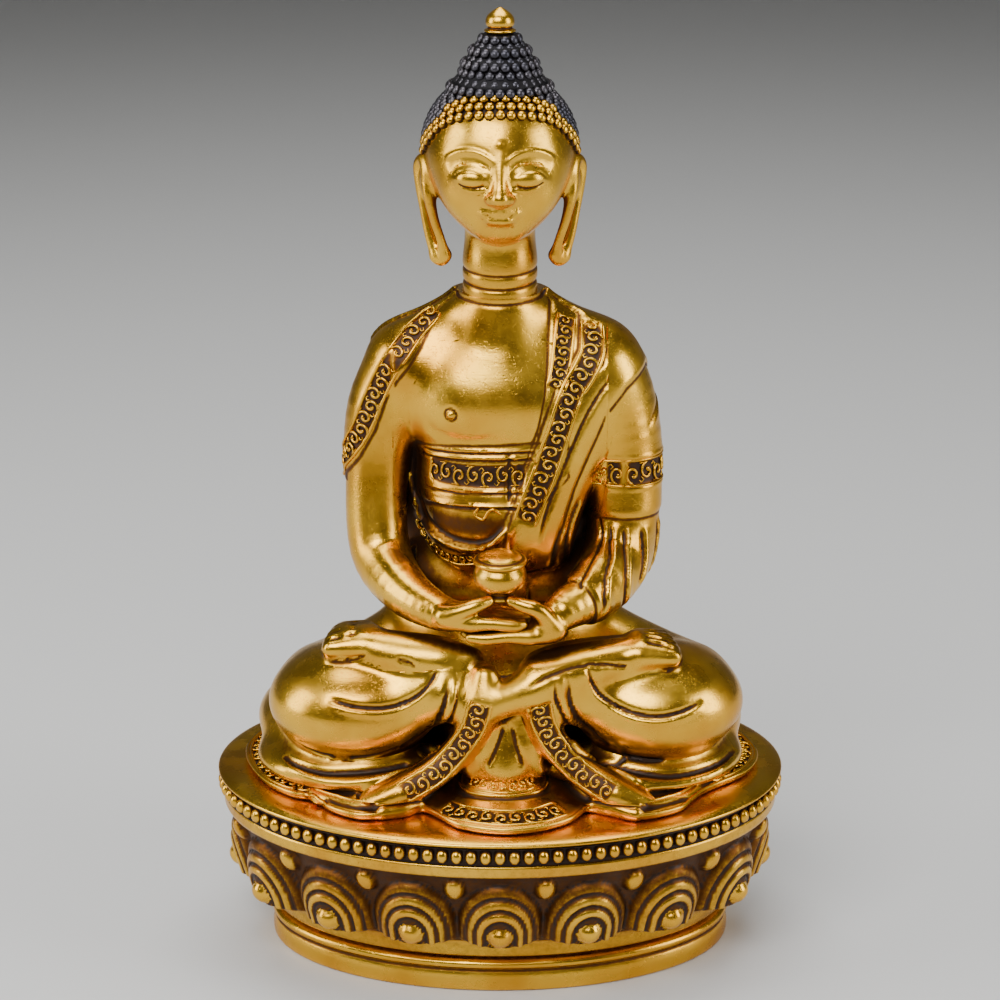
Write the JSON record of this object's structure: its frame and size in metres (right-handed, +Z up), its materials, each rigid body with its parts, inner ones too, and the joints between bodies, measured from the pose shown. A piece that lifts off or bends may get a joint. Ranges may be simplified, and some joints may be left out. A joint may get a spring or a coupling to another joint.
{
  "type": "seated buddha statue",
  "caption": "Cast brass figure seated cross-legged in meditation on an oval lotus base, with a covered bowl in the hands and engraved robe borders.",
  "frame": {"origin": "centre of the footprint, on the surface the statue stands on", "axes": "+Z up; the figure faces -Y; +X is the figure's left"},
  "size_m": [0.1278, 0.0878, 0.21],
  "materials": {
    "brass": "polished and lightly brushed, brown patina in the recesses",
    "dark_hair": "blue-black patina with rubbed brass tips",
    "pin_brass": "drawn, plain",
    "steel": "zinc-plated",
    "felt": "pressed felt"
  },
  "bodies": {
    "statue": {"foot_ring": "brass", "closing_plate": "brass", "felt_pad": "felt", "plate_screw_1": "steel", "plate_screw_2": "steel", "plate_screw_3": "steel", "plate_screw_4": "steel", "lotus_drum": "brass", "pearl_ring": "brass", "deck": "brass", "robe_hem": "brass", "right_tie_stud": "steel", "left_tie_stud": "steel", "right_tie_washer": "steel", "left_tie_washer": "steel", "right_tie_nut": "steel", "left_tie_nut": "steel", "legs": "brass", "waist_sleeve": "pin_brass", "torso": "brass", "right_shoulder_pin": "pin_brass", "left_shoulder_pin": "pin_brass", "right_arm": "brass", "left_arm": "brass", "right_wrist_pin": "pin_brass", "left_wrist_pin": "pin_brass", "right_hand": "brass", "left_hand": "brass", "head": "brass", "neck_pin": "pin_brass", "crown": "dark_hair", "finial": "brass"},
    "bowl": {"alms_bowl": "brass"}
  },
  "joints": [
    {"name": "bowl_lift", "type": "slide", "parent": "statue", "child": "bowl", "axis": [0, 0, 1], "range_m": [0, 0.018]}
  ]
}
